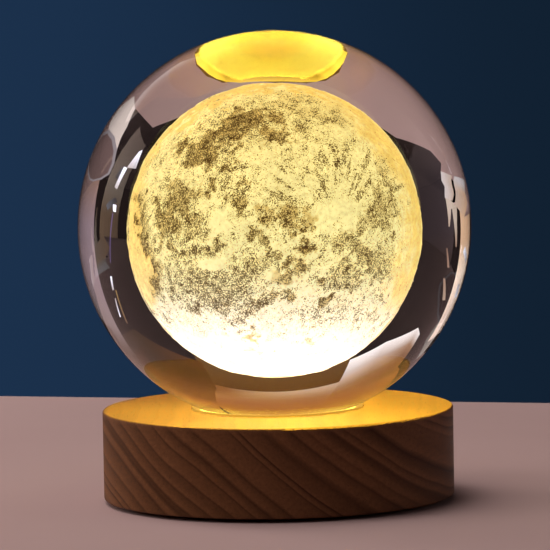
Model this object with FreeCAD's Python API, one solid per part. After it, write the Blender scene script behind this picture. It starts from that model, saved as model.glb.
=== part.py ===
import FreeCAD, Part
import math
import os

# Crystal ball night light: a glass ball with a moon engraved inside it, resting in a turned wooden base
# that holds a ring of lamps, a power socket and a push switch.
# Millimetres. +Z is up, the origin is on the table under the middle of the base, and the rear is +Y.

Vector = FreeCAD.Vector
UP = Vector(0, 0, 1)
REARWARD = Vector(0, 1, 0)

# Glass ball
BALL_DIAMETER = 80.0
MOON_DIAMETER = 40.3
MOON_DROP = 0.5  # the engraving's centre lies this far below the ball's
ENGRAVING_GAP = 0.05
SEAT_ANGLE = 23.4  # degrees, from the ball's lowest point to where it passes the base's top face
SEAT_CLEARANCE = 0.15

# Wooden base
BASE_DIAMETER = 71.5
BASE_HEIGHT = 18.85  # from the table to the top face
TOP_EDGE_RADIUS = 0.4
BOTTOM_EDGE_RADIUS = 0.4
BASE_WALL = 4.75  # wood left outside the bottom cover
COVER_LEDGE = 4.0  # width of the ledge that the cover is screwed to
POCKET_DEPTH = 6.5  # from the cover to the ceiling that carries the boards
WINDOW_SILL = 0.7  # wood between the cover and the rear window

# Bottom cover and feet
COVER_THICKNESS = 1.4
COVER_CLEARANCE = 0.15
COVER_EDGE_CHAMFER = 0.3
COVER_SCREW_COUNT = 3
COVER_SCREW_ANGLE = 30.0  # degrees from +X to the first screw
FOOT_DIAMETER = 8.0
FOOT_PROUD = 0.8
FOOT_RECESS = 0.6
FOOT_CLEARANCE = 0.1
FOOT_EDGE_RADIUS = 0.3
FOOT_COUNT = 4
FOOT_ANGLE = 45.0
FOOT_INSET = 8.0  # from the cover's recess to the middle of a foot

# Frosted dish over the lamps, which the ball rests in
DIFFUSER_THICKNESS = 1.2  # in the middle, where it is thinnest
DIFFUSER_LIP = 0.4  # how far its rim stands above the wood
DIFFUSER_RIM = 0.6  # width of the rim
DIFFUSER_LEDGE = 2.4
DIFFUSER_CLEARANCE = 0.1

# Boards and what is soldered to them
BOARD_THICKNESS = 1.6
LAMP_BOARD_DIAMETER = 44.0
LAMP_BOARD_SCREW_COUNT = 3
LAMP_BOARD_SCREW_ANGLE = 30.0
LAMP_BOARD_SCREW_MARGIN = 3.0  # from the board's edge to the screws
LED_COUNT = 6
LED_CIRCLE_DIAMETER = 16.0
LED_LENGTH = 3.5
LED_WIDTH = 2.8
LED_HEIGHT = 0.7
LED_RIM = 0.45
LED_WINDOW_DEPTH = 0.25
RESISTOR_COUNT = 3
RESISTOR_CIRCLE_DIAMETER = 22.0
RESISTOR_LENGTH = 3.2
RESISTOR_WIDTH = 1.6
RESISTOR_HEIGHT = 0.6
RESISTOR_EDGE = 0.12
INLET_BOARD_WIDTH = 19.6
BOARD_SPACING = 1.2  # between the two boards
INLET_SCREW_SIDE_MARGIN = 2.0
INLET_SCREW_FRONT_MARGIN = 1.9
INLET_SCREW_GAP = 0.3  # from the screws' heads to the socket and the switch

# Rear panel
PANEL_WIDTH = 27.2
PANEL_HEIGHT = 6.2
PANEL_THICKNESS = 1.5
PANEL_CORNER_RADIUS = 1.2
PANEL_CLEARANCE = 0.1
PANEL_SCREW_MARGIN = 1.9
WINDOW_SIDE_GAP = 0.4  # between the inlet board and the sides of the window

# Power socket
SOCKET_OFFSET = -4.6  # along X
SOCKET_WIDTH = 8.94
SOCKET_HEIGHT = 3.2
SOCKET_LENGTH = 7.3
SOCKET_WALL = 0.3
SOCKET_CLEARANCE = 0.15
SOCKET_SETBACK = 0.1  # from the panel's face
CORE_DEPTH = 2.2
CORE_CLEARANCE = 0.04
TONGUE_WIDTH = 6.6
TONGUE_THICKNESS = 0.7
TONGUE_SETBACK = 0.6
CONTACT_COUNT = 3  # on each side of the tongue
CONTACT_PITCH = 1.6
CONTACT_WIDTH = 0.5
CONTACT_THICKNESS = 0.12
CONTACT_END_MARGIN = 0.5

# Push switch
SWITCH_OFFSET = 5.4  # along X
SWITCH_WIDTH = 6.0
SWITCH_HEIGHT = 3.2
SWITCH_LENGTH = 6.0
SWITCH_WALL = 0.6
SWITCH_CLEARANCE = 0.08
SWITCH_TRAVEL = 1.2
PLUNGER_LENGTH = 2.2
STEM_DIAMETER = 1.8
STEM_CLEARANCE = 0.02  # in the button's hole
TERMINAL_LENGTH = 0.9
TERMINAL_WIDTH = 0.7
TERMINAL_THICKNESS = 0.3
TERMINAL_PITCH = 3.0
BUTTON_DIAMETER = 4.4
BUTTON_PROUD = 1.5  # of the panel's face, when it is out
BUTTON_CLEARANCE = 0.15
BUTTON_DOME = 0.35
BUTTON_GRIP = 1.4  # depth of stem inside the button
BUTTON_STOP_GAP = 0.1  # left between button and switch when it is pushed in

# Return spring
SPRING_WIRE = 0.22
SPRING_DIAMETER = 1.5  # to the middle of the wire
SPRING_TURNS = 3
SPRING_END_GAP = 0.04

# Wires between the boards
WIRE_DIAMETER = 1.1
WIRE_BEND_RADIUS = 1.5
WIRE_LEAD = 0.4  # straight length at each pad
WIRE_PAD_MARGIN = 1.5  # from the boards' edges to the pads
WIRE_FIRST_OFFSET = -1.4
WIRE_SPACING = 2.0

# Rounded bars
ROUND_LIMIT = 0.999  # share of half a bar's height that its corners may take up

# Screws
SCREW_CLEARANCE = 0.05
SCREW_TIP = 1.0
SCREW_POINT = 0.25  # share of the shank's diameter that is left at the tip's end
SCREW_SLOT_WIDTH = 0.16  # share of the head's diameter
SCREW_SLOT_LENGTH = 0.62  # share of the head's diameter
SCREW_SLOT_DEPTH = 0.55  # share of the head's height
BOARD_SCREW = {"shank": 2.0, "length": 6.0, "head": 3.6, "head_height": 1.2, "sunk": False}
INLET_SCREW = {"shank": 1.6, "length": 5.0, "head": 2.8, "head_height": 1.0, "sunk": False}
PANEL_SCREW = {"shank": 1.6, "length": 5.0, "head": 2.8, "head_height": 0.8, "sunk": False}
COVER_SCREW = {"shank": 2.2, "length": 7.0, "head": 4.0, "head_height": 1.0, "sunk": True}

# Heights that follow from the sizes above
ball_radius = BALL_DIAMETER / 2
base_radius = BASE_DIAMETER / 2
base_bottom = FOOT_PROUD
cover_top = base_bottom + COVER_THICKNESS
ceiling = cover_top + POCKET_DEPTH
board_bottom = ceiling - BOARD_THICKNESS
led_top = ceiling + LED_HEIGHT
connector_height = board_bottom - SOCKET_HEIGHT / 2
switch_height = board_bottom - SWITCH_HEIGHT / 2

# The ball's seat: a dish that follows the ball up to its rim
seat_reach = ball_radius + SEAT_CLEARANCE
ball_centre = Vector(0, 0, BASE_HEIGHT + seat_reach * math.cos(math.radians(SEAT_ANGLE)))
moon_centre = ball_centre - UP * MOON_DROP
rim_height = BASE_HEIGHT + DIFFUSER_LIP
seat_radius = math.sqrt(seat_reach**2 - (ball_centre.z - rim_height) ** 2)
diffuser_radius = seat_radius + DIFFUSER_RIM
well_radius = diffuser_radius + DIFFUSER_CLEARANCE
diffuser_bottom = ball_centre.z - seat_reach - DIFFUSER_THICKNESS
lamp_hole_radius = well_radius - DIFFUSER_LEDGE

# Radii and depths inside the base
cover_pocket_radius = base_radius - BASE_WALL
pocket_radius = cover_pocket_radius - COVER_LEDGE
cover_screw_circle = cover_pocket_radius + pocket_radius
lamp_screw_circle = LAMP_BOARD_DIAMETER - 2 * LAMP_BOARD_SCREW_MARGIN
foot_circle = 2 * (cover_pocket_radius - FOOT_INSET)

# Places along Y at the rear: the panel is flush with the wood at its two ends
panel_face = math.sqrt(base_radius**2 - (PANEL_WIDTH / 2 + PANEL_CLEARANCE) ** 2)
panel_back = panel_face - PANEL_THICKNESS
window_half_width = INLET_BOARD_WIDTH / 2 + WINDOW_SIDE_GAP
socket_mouth = panel_face - SOCKET_SETBACK
socket_rear = socket_mouth - SOCKET_LENGTH
button_end = panel_face + BUTTON_PROUD
button_back = panel_back + BUTTON_CLEARANCE
switch_front = button_back - SWITCH_TRAVEL - BUTTON_STOP_GAP
switch_rear = switch_front - SWITCH_LENGTH
plunger_front = switch_front - SWITCH_WALL - SWITCH_CLEARANCE
plunger_rear = plunger_front - PLUNGER_LENGTH
switch_cap_front = switch_rear + SWITCH_WALL
stem_end = button_back + BUTTON_GRIP
inlet_screw_row = min(socket_rear, switch_rear) - INLET_SCREW_GAP - INLET_SCREW["head"] / 2
inlet_board_front = inlet_screw_row - INLET_SCREW_FRONT_MARGIN
lamp_board_flat = inlet_board_front - BOARD_SPACING


def cylinder(diameter, length, base, direction=UP):
    """A round bar from base along direction."""
    return Part.makeCylinder(diameter / 2, length, base, direction)


def block(x_limits, y_limits, z_limits):
    """A box between the given limits."""
    low = Vector(x_limits[0], y_limits[0], z_limits[0])
    high = Vector(x_limits[1], y_limits[1], z_limits[1])
    size = high - low
    return Part.makeBox(size.x, size.y, size.z, low)


def around(middle, width):
    """The two limits of a width that is centred on middle."""
    return (middle - width / 2, middle + width / 2)


def ring_places(count, circle_diameter, first_angle, height):
    """(angle, point) of evenly spaced places on a circle about Z."""
    places = []
    for index in range(count):
        angle = first_angle + 360.0 * index / count
        radians = math.radians(angle)
        x = circle_diameter / 2 * math.cos(radians)
        y = circle_diameter / 2 * math.sin(radians)
        places.append((angle, Vector(x, y, height)))
    return places


def rounded_bar(width, height, radius, x_middle, z_middle, y_from, y_to):
    """A bar along Y whose section is a rectangle with rounded corners."""
    limit = min(width, height) / 2 * ROUND_LIMIT
    bar = block(around(x_middle, width), (y_from, y_to), around(z_middle, height))
    long_edges = [edge for edge in bar.Edges if abs(edge.tangentAt(edge.FirstParameter).y) > 0.5]
    return bar.makeFillet(min(radius, limit), long_edges)


def screw(kind):
    """A cross-slotted screw driven along +Z, with the plane that its head bears on at z = 0."""
    shank_radius = kind["shank"] / 2
    straight = kind["length"] - SCREW_TIP
    body = Part.makeCylinder(shank_radius, straight)
    tip = Part.makeCone(shank_radius, shank_radius * SCREW_POINT, SCREW_TIP, UP * straight)
    head_height = kind["head_height"]
    if kind["sunk"]:
        head = Part.makeCone(kind["head"] / 2, shank_radius, head_height)
        outer_face = 0.0
    else:
        head = cylinder(kind["head"], head_height, UP * -head_height)
        outer_face = -head_height
        rim = [edge for edge in head.Edges if abs(edge.CenterOfMass.z - outer_face) < 1e-6 and edge.Closed]
        head = head.makeFillet(head_height / 2, rim[:1])
    solid = body.fuse([tip, head]).removeSplitter()
    slot_half = kind["head"] * SCREW_SLOT_LENGTH / 2
    slot_width = kind["head"] * SCREW_SLOT_WIDTH
    depth = (outer_face, outer_face + head_height * SCREW_SLOT_DEPTH)
    one_way = block((-slot_half, slot_half), around(0, slot_width), depth)
    other_way = block(around(0, slot_width), (-slot_half, slot_half), depth)
    return solid.cut([one_way, other_way])


def screw_hole(kind):
    """The space that a screw of this kind takes up in what it is driven into."""
    radius = kind["shank"] / 2 + SCREW_CLEARANCE
    return Part.makeCylinder(radius, kind["length"] + SCREW_CLEARANCE)


def upward(shape, place):
    """A copy of a shape made about the origin, moved to place."""
    moved = shape.copy()
    moved.translate(place)
    return moved


def forward(shape, place):
    """A copy turned so that its +Z points to the front, -Y, then moved to place."""
    moved = shape.copy()
    moved.rotate(Vector(), Vector(1, 0, 0), 90)
    moved.translate(place)
    return moved


def cover_screw_places():
    return [p for _, p in ring_places(COVER_SCREW_COUNT, cover_screw_circle, COVER_SCREW_ANGLE, base_bottom)]


def lamp_screw_places():
    count = LAMP_BOARD_SCREW_COUNT
    return [p for _, p in ring_places(count, lamp_screw_circle, LAMP_BOARD_SCREW_ANGLE, board_bottom)]


def inlet_screw_places():
    x = INLET_BOARD_WIDTH / 2 - INLET_SCREW_SIDE_MARGIN
    return [Vector(side * x, inlet_screw_row, board_bottom) for side in (-1, 1)]


def panel_screw_places():
    x = PANEL_WIDTH / 2 - PANEL_SCREW_MARGIN
    return [Vector(side * x, panel_face, connector_height) for side in (-1, 1)]


def foot_places(height):
    return [p for _, p in ring_places(FOOT_COUNT, foot_circle, FOOT_ANGLE, height)]


def make_crystal_ball():
    ball = Part.makeSphere(ball_radius, ball_centre)
    engraving = Part.makeSphere(MOON_DIAMETER / 2 + ENGRAVING_GAP, moon_centre)
    return ball.cut(engraving)


def make_engraved_moon():
    return Part.makeSphere(MOON_DIAMETER / 2, moon_centre)


def make_wood_base():
    wood = cylinder(BASE_DIAMETER, BASE_HEIGHT - base_bottom, UP * base_bottom)
    rims = {round(edge.CenterOfMass.z, 6): edge for edge in wood.Edges if edge.Closed}
    wood = wood.makeFillet(TOP_EDGE_RADIUS, [rims[round(BASE_HEIGHT, 6)]])
    rims = {round(edge.CenterOfMass.z, 6): edge for edge in wood.Edges if edge.Closed}
    wood = wood.makeFillet(BOTTOM_EDGE_RADIUS, [rims[round(base_bottom, 6)]])
    well = cylinder(2 * well_radius, BASE_HEIGHT - diffuser_bottom, UP * diffuser_bottom)
    lamp_hole = cylinder(2 * lamp_hole_radius, diffuser_bottom - ceiling, UP * ceiling)
    cover_pocket = cylinder(2 * cover_pocket_radius, COVER_THICKNESS, UP * base_bottom)
    pocket = cylinder(2 * pocket_radius, POCKET_DEPTH, UP * cover_top)
    window_depth = (0, panel_back)
    window_heights = (cover_top + WINDOW_SILL, ceiling)
    window = block((-window_half_width, window_half_width), window_depth, window_heights)
    recess = rounded_bar(
        PANEL_WIDTH + 2 * PANEL_CLEARANCE,
        PANEL_HEIGHT + 2 * PANEL_CLEARANCE,
        PANEL_CORNER_RADIUS + PANEL_CLEARANCE,
        0,
        connector_height,
        panel_back,
        BASE_DIAMETER,
    )
    cuts = [well, lamp_hole, cover_pocket, pocket, window, recess]
    cuts += [upward(screw_hole(COVER_SCREW), place) for place in cover_screw_places()]
    cuts += [upward(screw_hole(BOARD_SCREW), place) for place in lamp_screw_places()]
    cuts += [upward(screw_hole(INLET_SCREW), place) for place in inlet_screw_places()]
    cuts += [forward(screw_hole(PANEL_SCREW), place) for place in panel_screw_places()]
    return wood.cut(cuts)


def make_diffuser_disc():
    blank = cylinder(2 * diffuser_radius, rim_height - diffuser_bottom, UP * diffuser_bottom)
    return blank.cut(Part.makeSphere(seat_reach, ball_centre))


def make_lamp_board():
    """A round board with a flat where the inlet board begins."""
    board = cylinder(LAMP_BOARD_DIAMETER, BOARD_THICKNESS, UP * board_bottom)
    beyond = (lamp_board_flat, lamp_board_flat + LAMP_BOARD_DIAMETER)
    cuts = [block(around(0, LAMP_BOARD_DIAMETER), beyond, (board_bottom, ceiling))]
    cuts += [upward(screw_hole(BOARD_SCREW), place) for place in lamp_screw_places()]
    return board.cut(cuts)


def led_blocks(length, width, bottom, top):
    """A block for each lamp, centred on its place with its length across the radius."""
    blocks = []
    for angle, place in ring_places(LED_COUNT, LED_CIRCLE_DIAMETER, 0.0, 0.0):
        led = block(around(0, width), around(0, length), (bottom, top))
        led.rotate(Vector(), UP, angle)
        led.translate(place)
        blocks.append(led)
    return blocks


def led_windows():
    length = LED_LENGTH - 2 * LED_RIM
    width = LED_WIDTH - 2 * LED_RIM
    return led_blocks(length, width, led_top - LED_WINDOW_DEPTH, led_top)


def make_led_packages():
    packages = led_blocks(LED_LENGTH, LED_WIDTH, ceiling, led_top)
    return Part.makeCompound([led.cut(hollow) for led, hollow in zip(packages, led_windows())])


def make_led_phosphors():
    return Part.makeCompound(led_windows())


def make_resistors():
    resistors = []
    for angle, place in ring_places(RESISTOR_COUNT, RESISTOR_CIRCLE_DIAMETER, 0.0, board_bottom):
        chip = block(around(0, RESISTOR_WIDTH), around(0, RESISTOR_LENGTH), (-RESISTOR_HEIGHT, 0))
        chip = chip.makeChamfer(RESISTOR_EDGE, [e for e in chip.Edges if e.CenterOfMass.z < -RESISTOR_EDGE])
        chip.rotate(Vector(), UP, angle)
        chip.translate(place)
        resistors.append(chip)
    return Part.makeCompound(resistors)


def make_lamp_board_screws():
    return Part.makeCompound([upward(screw(BOARD_SCREW), place) for place in lamp_screw_places()])


def make_inlet_board():
    board = block(
        around(0, INLET_BOARD_WIDTH),
        (inlet_board_front, switch_front),
        (board_bottom, ceiling),
    )
    return board.cut([upward(screw_hole(INLET_SCREW), place) for place in inlet_screw_places()])


def make_inlet_board_screws():
    return Part.makeCompound([upward(screw(INLET_SCREW), place) for place in inlet_screw_places()])


def socket_bar(inset, y_from, y_to):
    """The socket's rounded section, taken in by inset all round."""
    width = SOCKET_WIDTH - 2 * inset
    height = SOCKET_HEIGHT - 2 * inset
    return rounded_bar(width, height, height / 2, SOCKET_OFFSET, connector_height, y_from, y_to)


def make_socket_shell():
    outside = socket_bar(0, socket_rear, socket_mouth)
    return outside.cut(socket_bar(SOCKET_WALL, socket_rear, socket_mouth))


def tongue_limits():
    return (socket_rear + CORE_DEPTH, socket_mouth - TONGUE_SETBACK)


def make_socket_core():
    core = socket_bar(SOCKET_WALL + CORE_CLEARANCE, socket_rear, socket_rear + CORE_DEPTH)
    across = around(SOCKET_OFFSET, TONGUE_WIDTH)
    tongue = block(across, tongue_limits(), around(connector_height, TONGUE_THICKNESS))
    return core.fuse(tongue).removeSplitter()


def make_socket_contacts():
    contacts = []
    first, last = tongue_limits()
    for index in range(CONTACT_COUNT):
        x = SOCKET_OFFSET + (index - (CONTACT_COUNT - 1) / 2) * CONTACT_PITCH
        for side in (-1, 1):
            z = connector_height + side * (TONGUE_THICKNESS + CONTACT_THICKNESS) / 2
            along = (first, last - CONTACT_END_MARGIN)
            contacts.append(block(around(x, CONTACT_WIDTH), along, around(z, CONTACT_THICKNESS)))
    return Part.makeCompound(contacts)


def switch_cavity(clearance, y_from, y_to):
    """A bar that fills the switch's inside, less a clearance."""
    width = SWITCH_WIDTH - 2 * SWITCH_WALL - 2 * clearance
    height = SWITCH_HEIGHT - 2 * SWITCH_WALL - 2 * clearance
    return block(around(SWITCH_OFFSET, width), (y_from, y_to), around(switch_height, height))


def on_switch_axis(y):
    return Vector(SWITCH_OFFSET, y, switch_height)


def make_switch_housing():
    across = around(SWITCH_OFFSET, SWITCH_WIDTH)
    housing = block(across, (switch_cap_front, switch_front), around(switch_height, SWITCH_HEIGHT))
    inside = switch_cavity(0, switch_cap_front, switch_front - SWITCH_WALL)
    stem_hole = cylinder(
        STEM_DIAMETER + 2 * SWITCH_CLEARANCE,
        2 * SWITCH_WALL,
        on_switch_axis(switch_front - 1.5 * SWITCH_WALL),
        REARWARD,
    )
    return housing.cut([inside, stem_hole])


def make_switch_rear_cap():
    across = around(SWITCH_OFFSET, SWITCH_WIDTH)
    return block(across, (switch_rear, switch_cap_front), around(switch_height, SWITCH_HEIGHT))


def make_switch_terminals():
    """Solder tabs on both sides of the switch, against the board."""
    tabs = []
    middle = (switch_cap_front + switch_front) / 2
    heights = (board_bottom - TERMINAL_THICKNESS, board_bottom)
    for y in (middle - TERMINAL_PITCH / 2, middle + TERMINAL_PITCH / 2):
        right = SWITCH_OFFSET + SWITCH_WIDTH / 2
        left = SWITCH_OFFSET - SWITCH_WIDTH / 2
        tabs.append(block((right, right + TERMINAL_LENGTH), around(y, TERMINAL_WIDTH), heights))
        tabs.append(block((left - TERMINAL_LENGTH, left), around(y, TERMINAL_WIDTH), heights))
    return Part.makeCompound(tabs)


def make_switch_plunger():
    slider = switch_cavity(SWITCH_CLEARANCE, plunger_rear, plunger_front)
    stem = cylinder(STEM_DIAMETER, stem_end - plunger_front, on_switch_axis(plunger_front), REARWARD)
    return slider.fuse(stem).removeSplitter()


def make_button_cap():
    cap = cylinder(BUTTON_DIAMETER, button_end - button_back, on_switch_axis(button_back), REARWARD)
    face_rim = [e for e in cap.Edges if e.Closed and abs(e.CenterOfMass.y - button_end) < 1e-6]
    cap = cap.makeFillet(BUTTON_DOME, face_rim[:1])
    hole = STEM_DIAMETER + 2 * STEM_CLEARANCE
    grip = cylinder(hole, BUTTON_GRIP, on_switch_axis(button_back), REARWARD)
    return cap.cut(grip)


def spring_point(turn):
    """A point on the spring's line after so many turns from its rear end."""
    rear = switch_cap_front + SPRING_END_GAP + SPRING_WIRE / 2
    front = plunger_rear - SPRING_END_GAP - SPRING_WIRE / 2
    angle = 2 * math.pi * turn
    x = SPRING_DIAMETER / 2 * math.cos(angle)
    z = SPRING_DIAMETER / 2 * math.sin(angle)
    along = rear + (front - rear) * turn / SPRING_TURNS
    return Vector(SWITCH_OFFSET + x, along, switch_height + z)


def make_switch_spring():
    arcs_per_turn = 4
    step = 1 / arcs_per_turn
    arcs = []
    for index in range(SPRING_TURNS * arcs_per_turn):
        turn = index * step
        middle = spring_point(turn + step / 2)
        arcs.append(Part.Arc(spring_point(turn), middle, spring_point(turn + step)).toShape())
    line = Part.Wire(arcs)
    start = arcs[0].tangentAt(arcs[0].FirstParameter)
    section = Part.Wire(Part.makeCircle(SPRING_WIRE / 2, spring_point(0), start))
    return line.makePipeShell([section], True, False)


def make_wire(index):
    """One insulated wire, which loops down from the inlet board's pad and up to the lamp board's."""
    x = WIRE_FIRST_OFFSET + index * WIRE_SPACING
    near = inlet_board_front + WIRE_PAD_MARGIN
    far = lamp_board_flat - WIRE_PAD_MARGIN
    bend = WIRE_BEND_RADIUS
    top = board_bottom
    corner = top - WIRE_LEAD
    low = corner - bend
    inside = bend * (1 - math.sqrt(0.5))
    first_bend = Part.Arc(
        Vector(x, near, corner), Vector(x, near - inside, low + inside), Vector(x, near - bend, low)
    )
    last_bend = Part.Arc(
        Vector(x, far + bend, low), Vector(x, far + inside, low + inside), Vector(x, far, corner)
    )
    runs = [
        Part.LineSegment(Vector(x, near, top), Vector(x, near, corner)),
        first_bend,
        Part.LineSegment(Vector(x, near - bend, low), Vector(x, far + bend, low)),
        last_bend,
        Part.LineSegment(Vector(x, far, corner), Vector(x, far, top)),
    ]
    line = Part.Wire([run.toShape() for run in runs])
    section = Part.Wire(Part.makeCircle(WIRE_DIAMETER / 2, Vector(x, near, top), UP))
    return line.makePipeShell([section], True, False)


def make_rear_panel():
    panel = rounded_bar(
        PANEL_WIDTH, PANEL_HEIGHT, PANEL_CORNER_RADIUS, 0, connector_height, panel_back, panel_face
    )
    socket_hole = socket_bar(-SOCKET_CLEARANCE, panel_back, panel_face)
    button_hole = cylinder(
        BUTTON_DIAMETER + 2 * BUTTON_CLEARANCE, PANEL_THICKNESS, on_switch_axis(panel_back), REARWARD
    )
    screw_holes = [forward(screw_hole(PANEL_SCREW), place) for place in panel_screw_places()]
    return panel.cut([socket_hole, button_hole] + screw_holes)


def make_panel_screws():
    return Part.makeCompound([forward(screw(PANEL_SCREW), place) for place in panel_screw_places()])


def make_bottom_cover():
    cover = cylinder(2 * (cover_pocket_radius - COVER_CLEARANCE), COVER_THICKNESS, UP * base_bottom)
    rim = [e for e in cover.Edges if e.Closed and abs(e.CenterOfMass.z - base_bottom) < 1e-6]
    cover = cover.makeChamfer(COVER_EDGE_CHAMFER, rim[:1])
    seat = FOOT_DIAMETER + 2 * FOOT_CLEARANCE
    cuts = [cylinder(seat, FOOT_RECESS, place) for place in foot_places(base_bottom)]
    head = COVER_SCREW["head"] / 2 + SCREW_CLEARANCE
    shank = COVER_SCREW["shank"] / 2 + SCREW_CLEARANCE
    for place in cover_screw_places():
        cuts.append(Part.makeCone(head, shank, COVER_SCREW["head_height"], place))
        cuts.append(upward(screw_hole(COVER_SCREW), place))
    return cover.cut(cuts)


def make_cover_screws():
    return Part.makeCompound([upward(screw(COVER_SCREW), place) for place in cover_screw_places()])


def make_rubber_feet():
    feet = []
    for place in foot_places(0):
        foot = cylinder(FOOT_DIAMETER, FOOT_PROUD + FOOT_RECESS, place)
        rim = [e for e in foot.Edges if e.Closed and abs(e.CenterOfMass.z) < 1e-6]
        feet.append(foot.makeFillet(FOOT_EDGE_RADIUS, rim[:1]))
    return Part.makeCompound(feet)


def spring_gap():
    """The least gap between turns of the spring, measured between points a turn apart."""
    steps = 24
    first_turns = [index / steps for index in range((SPRING_TURNS - 1) * steps + 1)]
    apart = [spring_point(turn).distanceToPoint(spring_point(turn + 1)) for turn in first_turns]
    return min(apart) - SPRING_WIRE


MAKERS = {
    "crystal_ball": make_crystal_ball,
    "engraved_moon": make_engraved_moon,
    "wood_base": make_wood_base,
    "diffuser_disc": make_diffuser_disc,
    "lamp_board": make_lamp_board,
    "led_packages": make_led_packages,
    "led_phosphors": make_led_phosphors,
    "ballast_resistors": make_resistors,
    "lamp_board_screws": make_lamp_board_screws,
    "inlet_board": make_inlet_board,
    "inlet_board_screws": make_inlet_board_screws,
    "socket_shell": make_socket_shell,
    "socket_core": make_socket_core,
    "socket_contacts": make_socket_contacts,
    "switch_housing": make_switch_housing,
    "switch_rear_cap": make_switch_rear_cap,
    "switch_terminals": make_switch_terminals,
    "switch_spring": make_switch_spring,
    "switch_plunger": make_switch_plunger,
    "button_cap": make_button_cap,
    "rear_panel": make_rear_panel,
    "panel_screws": make_panel_screws,
    "positive_wire": lambda: make_wire(0),
    "negative_wire": lambda: make_wire(1),
    "bottom_cover": make_bottom_cover,
    "cover_screws": make_cover_screws,
    "rubber_feet": make_rubber_feet,
}


def main():
    os.makedirs("parts", exist_ok=True)
    for name, make in MAKERS.items():
        shape = make()
        solids = shape.Solids
        if not solids or not shape.isValid():
            raise ValueError(f"{name} is not a valid solid")
        whole = solids[0] if len(solids) == 1 else Part.makeCompound(solids)
        whole.exportStep(f"parts/{name}.step")
    print(f"least gap between the spring's turns: {spring_gap():.2f} mm")


main()
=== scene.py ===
import math
import random

import bmesh
import bpy
import numpy as np
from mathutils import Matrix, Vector, noise


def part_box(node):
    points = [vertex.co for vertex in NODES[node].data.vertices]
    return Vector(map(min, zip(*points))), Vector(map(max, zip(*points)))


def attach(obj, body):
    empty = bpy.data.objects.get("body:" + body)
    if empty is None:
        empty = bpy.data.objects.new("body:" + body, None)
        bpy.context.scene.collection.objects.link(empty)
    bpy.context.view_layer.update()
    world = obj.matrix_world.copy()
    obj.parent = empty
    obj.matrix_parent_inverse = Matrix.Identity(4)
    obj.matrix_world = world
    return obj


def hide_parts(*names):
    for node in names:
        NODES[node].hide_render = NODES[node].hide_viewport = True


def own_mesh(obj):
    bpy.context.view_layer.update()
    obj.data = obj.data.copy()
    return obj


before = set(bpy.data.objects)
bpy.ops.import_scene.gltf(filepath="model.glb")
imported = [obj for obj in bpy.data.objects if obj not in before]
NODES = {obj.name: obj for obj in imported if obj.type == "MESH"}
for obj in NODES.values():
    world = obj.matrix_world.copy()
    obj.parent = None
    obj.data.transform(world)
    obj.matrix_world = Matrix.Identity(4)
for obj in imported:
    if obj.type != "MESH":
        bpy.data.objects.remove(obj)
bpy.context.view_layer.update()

# Crystal ball night light: a glass ball with a moon engraved inside it, on a turned wooden base that
# lights it from below. Metres, in the frame of the model: +Z up, the front is -Y.

MM = 1000.0  # millimetres in a metre

# The photographed view
CAMERA_DISTANCE = 1.05
CAMERA_HEIGHT = 0.1454
CAMERA_SIDE = -0.00007
AIM_HEIGHT = 0.04591
CAMERA_ROLL = math.radians(1.040)
FIELD_OF_VIEW = math.radians(6.0755)

# Glass and engraving
GLASS_IOR = 1.49
SEAT_GAP = 0.15  # mm between the ball and the dish
BALL_SUBDIVISIONS = 7
MOON_STEPS = 128  # along each side of the six faces that are blown up into a ball
VIEW_TILT = math.radians(5.0)  # the engraving faces a viewer who looks down at it by this much
# strength of the engraving's painted glow
MOON_STRENGTH = 3.0
MOON_SEED = 11
SMALL_CRATERS = 420
RELIEF_LIMIT = 0.005  # share of the radius that the relief may rise or fall

# Light in the base
DISC_STRENGTH = 10.0
DISC_SPAN = 17.0  # mm from the dish's middle to where its colours end
DISC_SHELL = (0.02, 0.10)  # mm outside the face that carries the ball, between which the light ends
DISC_RIM_BAND = (0.60, 0.36)  # mm under the rim, between which the light ends
DISC_FRONT = (-15.5, -8.0)  # mm along Y, between which the light falls off from the front
DISC_FRONT_GAIN = 1.6
GLOW_COLOUR = (1.0, 1.0, 0.095)
GLOW_RADIANCE = 1480.0
GLOW_RADIUS = 0.0025
GLOW_REACH = 0.0265  # from the ball's middle towards the front and the rear
GLOW_SIDE = 0.0045
GLOW_DROP = 0.003  # below the ball's middle
REAR_GLOW = 0.35  # share of the front one

# Wood
RING_SPACING = 2.9  # mm
RING_CENTRE = (150.0, 0.0, 190.0)  # mm, the tree's middle as the rings show it
RING_SHADES = ((0.0, 0.6), (0.1, 1.0), (0.2, 0.72), (0.55, 0.25), (0.9, 0.0), (1.0, 0.6))  # across a ring
FIBRE_SQUASH = 0.06
FIGURE_FADE = (1.25, 0.15)  # mm under the top face, between which the rings grow faint

# Stage
FLOOR_REAR = 0.1655
FLOOR_TURN = math.radians(14.6)  # the shelf stands at this angle to the view
FLOOR_HALF_WIDTH = 0.8
FLOOR_FRONT = 1.7
ROOM_REACH = 0.9  # from the ball to what the glass shows round about
GLINT_REACH = ROOM_REACH * 0.95
CEILING_REACH = ROOM_REACH * 1.05
RIGHT_CEILING_REACH = CEILING_REACH * 0.985
SLANT_FROM = 36  # degrees up, where a ceiling's first edge starts to slant


def middle_and_radius(node):
    """The centre, on the Z axis, and the radius of a node that is a ball."""
    low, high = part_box(node)
    return Vector((0.0, 0.0, (low[2] + high[2]) / 2)), (high[2] - low[2]) / 2


BALL_CENTRE, BALL_RADIUS = middle_and_radius("crystal_ball")
MOON_CENTRE, MOON_RADIUS = middle_and_radius("engraved_moon")


def add(tree, kind, inputs=None, **settings):
    """A new node with its settings, and its inputs linked to sockets or set to values."""
    made = tree.nodes.new(kind)
    for name, value in settings.items():
        setattr(made, name, value)
    for key, value in (inputs or {}).items():
        if isinstance(value, bpy.types.NodeSocket):
            tree.links.new(value, made.inputs[key])
        else:
            made.inputs[key].default_value = value
    return made


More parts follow.
